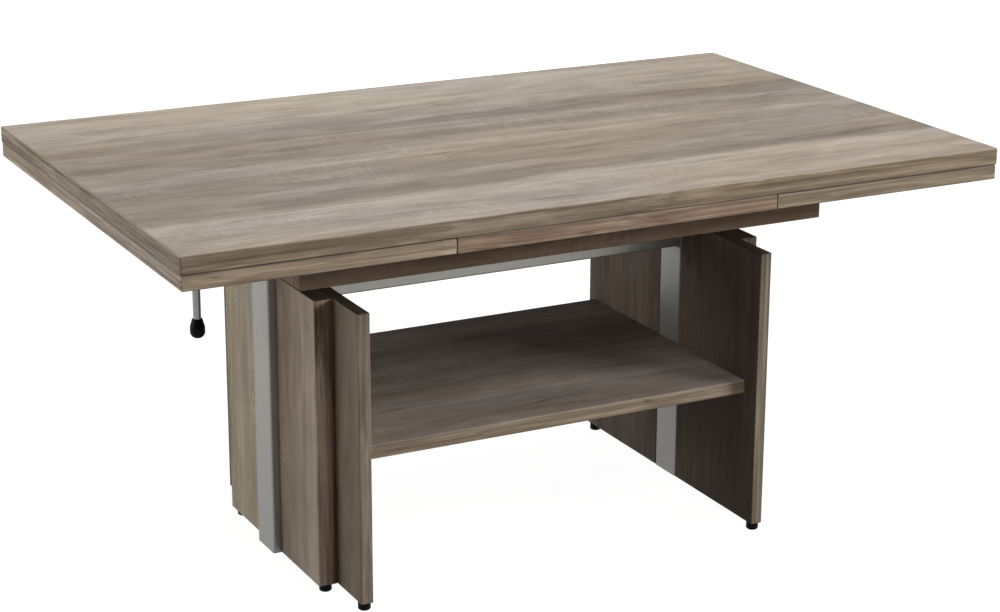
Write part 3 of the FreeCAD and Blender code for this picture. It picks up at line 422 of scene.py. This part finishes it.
def make_metal(name, tones, roughness, stretch):
    """Drawn or turned metal with faint lines; stretch gives the lines' scale along each axis."""
    material, tree, shader = new_material(name)
    lines = noise(tree, scaled(tree, object_point(tree), stretch), detail=3.0, roughness=0.6)
    roughness_range = [roughness + step for step in METAL_ROUGHNESS_STEPS]
    set_inputs(tree, shader, {
        "Base Color": toned(tree, lines, tones),
        "Roughness": spread(tree, lines, NOISE_SPAN, roughness_range),
        "Normal": bump(tree, lines, strength=0.08, distance=0.0002),
        "Metallic": 1.0,
    })
    return material


def make_plastic(name, tones, roughness, grain, gloss=0.5):
    """Moulded plastic or rubber with a fine spark-eroded grain."""
    material, tree, shader = new_material(name)
    texture = noise(tree, scaled(tree, object_point(tree), (grain, grain, grain)))
    roughness_range = [roughness + step for step in PLASTIC_ROUGHNESS_STEPS]
    set_inputs(tree, shader, {
        "Base Color": toned(tree, texture, tones),
        "Roughness": spread(tree, texture, NOISE_SPAN, roughness_range),
        "Normal": bump(tree, texture, strength=0.15, distance=0.0002),
        "Specular IOR Level": gloss,
    })
    return material


def make_beech():
    """Pale beech with short flecks along X."""
    material, tree, shader = new_material("beech_wood")
    point = object_point(tree)
    streaks = noise(tree, scaled(tree, point, BEECH_SCALE), detail=4.0, roughness=0.6)
    flecks = noise(tree, scaled(tree, point, BEECH_FLECK_SCALE), detail=1.0)
    fleck_amount = spread(tree, flecks, span=(0.6, 0.7), values=(0.0, 0.4))
    set_inputs(tree, shader, {
        "Base Color": mix(tree, fleck_amount, toned(tree, streaks, BEECH_TONES), BEECH_FLECK),
        "Roughness": spread(tree, streaks, NOISE_SPAN, BEECH_ROUGHNESS),
        "Normal": bump(tree, flecks, strength=0.1, distance=0.0002),
    })
    return material


def nodes_in(slot):
    """Names of the nodes that take a material slot."""
    return [part["node"] for part in frame["record"]["subparts"] if part["material_slot"] == slot]


def dress(names, material):
    """Nodes with a material in place of their plain one."""
    for name in names:
        slots = frame["nodes"][name].data.materials
        slots.clear()
        slots.append(material)


def long_axes(name):
    """Axes of a node along its length and its width, by its size."""
    low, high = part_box(name)
    order = sorted((X, Y, Z), key=lambda axis: high[axis] - low[axis], reverse=True)
    return order[0], order[1]


def board_painted_light(name):
    """Painted light and shade of a board's faces, edges and ends; of two endings that fit, the one listed
    later counts.
    """
    painted_light = {"face": PLAIN, "edge": PLAIN, "end": PLAIN}
    for ending, changes in BOARD_PAINTED_LIGHT.items():
        if name.endswith(ending):
            painted_light.update(changes)
    return painted_light


def dress_boards():
    """Each oak board gets its own cut of the decor, along its length, and its own painted light and shade;
    the leaf layer follows the top.
    """
    for seed, name in enumerate(nodes_in("oak_decor"), start=1):
        grain, width = long_axes(name)
        if name.endswith("_leaf") or name == "centre_board":
            grain, width = X, Y
        low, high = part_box(name)
        cut = {"grain": grain, "width": width, "seed": seed,
               "size": high[width] - low[width], "middle": (high[width] + low[width]) / 2}
        dress([name], make_oak(f"oak_{name}", cut, board_painted_light(name), BOARD_BANDS_AND_SHADE.get(name)))


def dress_steel():
    """Bright steel with lines along each piece; the bent lever has the even grain of a plated rod."""
    for name in nodes_in("bright_steel"):
        stretch = list(STEEL_SCALE)
        if name != "release_lever":
            stretch[long_axes(name)[0]] = STEEL_SCALE_ALONG
        dress([name], make_metal(f"steel_{name}", STEEL_TONES, roughness=0.34, stretch=stretch))


def dress_fittings():
    """Painted, plastic, rubber and beech pieces; the cross rail's coat mirrors more than the columns'."""
    finishes = {
        "silver_steel": make_silver("silver_coat", metallic=0.6),
        "black_steel": make_metal("black_steel", BLACK_PAINT_TONES, roughness=0.4, stretch=(300, 300, 30)),
        "black_plastic": make_plastic("black_plastic", PLASTIC_TONES, roughness=0.5, grain=1600,
                                      gloss=0.12),
        "black_rubber": make_plastic("black_rubber", RUBBER_TONES, roughness=0.8, grain=900),
        "beech": make_beech(),
    }
    for slot, material in finishes.items():
        dress(nodes_in(slot), material)
    dress(["cross_rail"], make_silver("rail_coat", metallic=0.95))
    return finishes


def screw_rings():
    """Rings of points of a screw head, from its rim to the floor of its recess."""
    angles = [math.radians(quarter * 90 + angle) for quarter in range(4) for angle in SCREW_ANGLES]
    rings = [[(radius, height)] * len(angles) for radius, height in HEAD_RINGS]
    rings += [[(radius * share, height) for radius in RECESS_RADII * 4] for share, height in RECESS_RINGS]
    return [[Vector((radius * math.cos(angle), radius * math.sin(angle), height)) / MM_PER_M
             for angle, (radius, height) in zip(angles, ring)] for ring in rings]


def skin_rings(mesh, rings):
    """Closed skin over rings of points with flat faces at both ends."""
    loops = [[mesh.verts.new(point) for point in ring] for ring in rings]
    count = len(loops[0])
    for lower, upper in zip(loops, loops[1:]):
        for index in range(count):
            after = (index + 1) % count
            mesh.faces.new((lower[index], lower[after], upper[after], upper[index]))
    mesh.faces.new(reversed(loops[0]))
    mesh.faces.new(loops[-1])


def add_screw(mesh, place, direction):
    """Screw head at a place in millimetres, with its top towards a direction."""
    turn = Vector(direction).to_track_quat("Z", "Y").to_matrix()
    seat = Vector(place) / MM_PER_M
    skin_rings(mesh, [[seat + turn @ point for point in ring] for ring in screw_rings()])


def add_weld(mesh, start, end, outward, leg):
    """Rippled fillet weld between two points in millimetres; outward holds its two legs' directions."""
    start, end = Vector(start), Vector(end)
    first, second = Vector(outward[0]), Vector(outward[1])
    steps = round((end - start).length * WELD_RINGS_PER_MM)
    rings = []
    for step in range(steps + 1):
        reach = leg * (1 - WELD_RIPPLE + WELD_RIPPLE * math.sin(step * RIPPLE_TURN))
        root = start.lerp(end, step / steps) - WELD_SINK * (first + second)
        corners = [Vector(), first * reach, (first + second) * reach * WELD_BULGE, second * reach]
        rings.append([(root + corner) / MM_PER_M for corner in corners])
    skin_rings(mesh, rings)


def finish_piece(name, mesh, body, material):
    """New piece of a mesh, riding on a body and finished with a material."""
    bmesh.ops.recalc_face_normals(mesh, faces=mesh.faces)
    data = bpy.data.meshes.new(name)
    mesh.to_mesh(data)
    mesh.free()
    data.materials.append(material)
    piece = bpy.data.objects.new(name, data)
    bpy.context.scene.collection.objects.link(piece)
    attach(piece, body)


def box_mm(node):
    """Lowest and highest corner of a node in millimetres."""
    return [corner * MM_PER_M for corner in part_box(node)]


def add_frame_screws(steel):
    """Screws of the bearers' brackets and the corner blocks, in the four corners of the lifting frame."""
    mesh = bmesh.new()
    held = ("bearer_brackets", "right_bearer", "corner_blocks")
    bracket, bearer, block = [box_mm(node)[1] for node in held]
    for x_sign, y_sign in CORNERS:
        middle = x_sign * (bracket.x - BRACKET_WIDTH / 2)
        inset = y_sign * (bracket.y - BEARER_SCREW_INSET)
        add_screw(mesh, (middle, inset, bearer.z + BRACKET_THICKNESS), (0, 0, 1))
        wall = y_sign * (bracket.y - BRACKET_THICKNESS)
        for step in SIDES:
            beside = middle + APRON_SCREW_STEP * step
            add_screw(mesh, (beside, wall, bracket.z - APRON_SCREW_DROP), (0, -y_sign, 0))
            across = x_sign * (block.x - BLOCK_LEG / 2 + BLOCK_SCREW_STEP * step)
            along = y_sign * (block.y - BLOCK_LEG / 2 - BLOCK_SCREW_STEP * step)
            add_screw(mesh, (across, along, block.z - BLOCK_SCREW_DROP), (-x_sign, -y_sign, 0))
    finish_piece("frame_screws", mesh, "lift", steel)


def add_stop_screws(steel):
    """Two screws through each loper's end stop into the loper."""
    for side, x_sign in (("left", 1), ("right", -1)):
        mesh = bmesh.new()
        loper_low, loper_high = box_mm(f"{side}_rear_loper")
        stop_low, stop_high = box_mm(f"{side}_loper_stops")
        middle = (loper_low + loper_high) / 2
        face = stop_high.x if x_sign > 0 else stop_low.x
        for y_sign in SIDES:
            for step in SIDES:
                along = y_sign * (middle.y + STOP_SCREW_STEP * step)
                add_screw(mesh, (face, along, middle.z), (x_sign, 0, 0))
        finish_piece(f"{side}_stop_screws", mesh, f"{side}_leaf_unit", steel)


def add_rail_welds(silver):
    """Fillet welds under the cross rail's ends, against the columns."""
    mesh = bmesh.new()
    low, high = box_mm("cross_rail")
    for sign in SIDES:
        end = sign * high.x
        add_weld(mesh, (end, low.y + RAIL_WELD_GAP, low.z), (end, high.y - RAIL_WELD_GAP, low.z),
                 ((-sign, 0, 0), (0, 0, -1)), RAIL_WELD_LEG)
    finish_piece("rail_welds", mesh, "base", silver)


def add_head_welds(steel):
    """Fillet welds at the front and rear of both inner tubes, under their head plates."""
    mesh = bmesh.new()
    low, high = box_mm("right_inner_tube")
    for x_sign, y_sign in CORNERS:
        wall = y_sign * high.y
        inner, outer = x_sign * (low.x + HEAD_WELD_GAP), x_sign * (high.x - HEAD_WELD_GAP)
        add_weld(mesh, (inner, wall, high.z), (outer, wall, high.z),
                 ((0, y_sign, 0), (0, 0, -1)), HEAD_WELD_LEG)
    finish_piece("head_welds", mesh, "lift", steel)


def add_details(silver):
    """Small fasteners and welds that carry no shape of their own in the solids."""
    steel = make_metal("plated_steel", STEEL_TONES, roughness=0.3, stretch=STEEL_SCALE)
    add_frame_screws(steel)
    add_stop_screws(steel)
    add_rail_welds(silver)
    add_head_welds(steel)


def add_camera():
    """Camera at the photograph's viewpoint, from its position and its yaw, pitch and roll."""
    yaw, pitch, roll = [math.radians(angle) for angle in (CAMERA_YAW, CAMERA_PITCH, CAMERA_ROLL)]
    data = bpy.data.cameras.new("camera")
    data.sensor_width = SENSOR_WIDTH
    data.lens = FOCAL_PIXELS / IMAGE_WIDTH * SENSOR_WIDTH
    camera = bpy.data.objects.new("camera", data)
    forward = Vector((math.sin(yaw) * math.cos(pitch), math.cos(yaw) * math.cos(pitch), -math.sin(pitch)))
    level = Vector((math.cos(yaw), -math.sin(yaw), 0))
    upright = level.cross(forward)
    right = level * math.cos(roll) + upright * math.sin(roll)
    up = upright * math.cos(roll) - level * math.sin(roll)
    axes = Matrix((right, up, -forward)).transposed().to_4x4()
    camera.matrix_world = Matrix.Translation(CAMERA_PLACE) @ axes
    bpy.context.scene.collection.objects.link(camera)
    bpy.context.scene.camera = camera


def add_area_light(name, place, target, size, power, colour=(1, 1, 1), mirrored=True):
    """Softbox aimed at a target; one that isn't mirrored leaves no highlight on glossy surfaces."""
    data = bpy.data.lights.new(name, "AREA")
    data.shape = "RECTANGLE"
    data.size, data.size_y = size
    data.energy = power
    data.color = colour
    light = bpy.data.objects.new(name, data)
    light.visible_camera = False
    light.visible_glossy = mirrored
    turn = (Vector(target) - Vector(place)).to_track_quat("-Z", "Y").to_matrix().to_4x4()
    light.matrix_world = Matrix.Translation(place) @ turn
    bpy.context.scene.collection.objects.link(light)


def add_floor():
    """White floor that adds no bounce to the object and is dimmer in reflections."""
    bpy.ops.mesh.primitive_circle_add(vertices=96, radius=FLOOR_RADIUS, fill_type="NGON",
                                      location=(0, 0, FLOOR_HEIGHT))
    floor = bpy.context.object
    floor.name = "studio_floor"
    floor.visible_diffuse = False
    material, tree, shader = new_material("pale_floor")
    rays = add_node(tree, "ShaderNodeLightPath", {}).outputs
    set_inputs(tree, shader, {
        "Base Color": (0.15, 0.15, 0.15, 1),
        "Roughness": 0.9,
        "Emission Color": PLAIN,
        "Emission Strength": spread(tree, rays["Is Camera Ray"], (0.0, 1.0), FLOOR_GLOW),
    })
    floor.data.materials.append(material)


def add_surroundings():
    """White backdrop with a much dimmer, warm ambient light."""
    world = bpy.data.worlds.new("studio")
    bpy.context.scene.world = world
    world.use_nodes = True
    tree = world.node_tree
    ambient = tree.nodes["Background"]
    set_inputs(tree, ambient, {"Color": (1.0, 0.7, 0.6, 1), "Strength": 0.02})
    backdrop = add_node(tree, "ShaderNodeBackground", {"Color": PLAIN, "Strength": 1.0})
    rays = add_node(tree, "ShaderNodeLightPath", {}).outputs
    inputs = {0: rays["Is Camera Ray"], 1: ambient.outputs[0], 2: backdrop.outputs[0]}
    choice = add_node(tree, "ShaderNodeMixShader", inputs)
    tree.links.new(choice.outputs[0], tree.nodes["World Output"].inputs["Surface"])


def add_lights():
    """Overhead softbox, left side light, two rear lights, warm light from the front right, and fill."""
    add_area_light("overhead", place=(0.1, 0.3, 3.0), target=(0, 0, 0.5), size=(2.4, 2.0), power=80,
                   colour=(0.96, 0.99, 1.0))
    add_area_light("left", place=(-3.1, 1.1, 1.0), target=(-0.3, 0, 0.3), size=(2.6, 1.2), power=43,
                   colour=(1.0, 0.96, 0.93))
    add_area_light("right_rear", place=(1.7, 2.9, 0.9), target=(0, 0, 0.2), size=(0.8, 0.8), power=1.4)
    add_area_light("low_rear", place=(1.1, 2.9, 0.12), target=(0.1, 0.3, 0.35), size=(2.6, 0.1), power=40,
                   colour=(1.0, 0.95, 0.9), mirrored=False)
    add_area_light("front", place=(3.2, -3.2, 1.95), target=(0, 0, 0.2), size=(1.8, 1.4), power=140,
                   colour=(1.0, 0.93, 0.82))
    add_area_light("fill", place=(0.2, -2.3, 2.3), target=(0, 0, 0.3), size=(0.8, 0.8), power=28,
                   colour=(1.0, 0.94, 0.9))
    bpy.context.scene.view_settings.view_transform = "Standard"


dress_boards()
dress_steel()
finishes = dress_fittings()
add_details(finishes["silver_steel"])
add_camera()
add_floor()
add_surroundings()
add_lights()
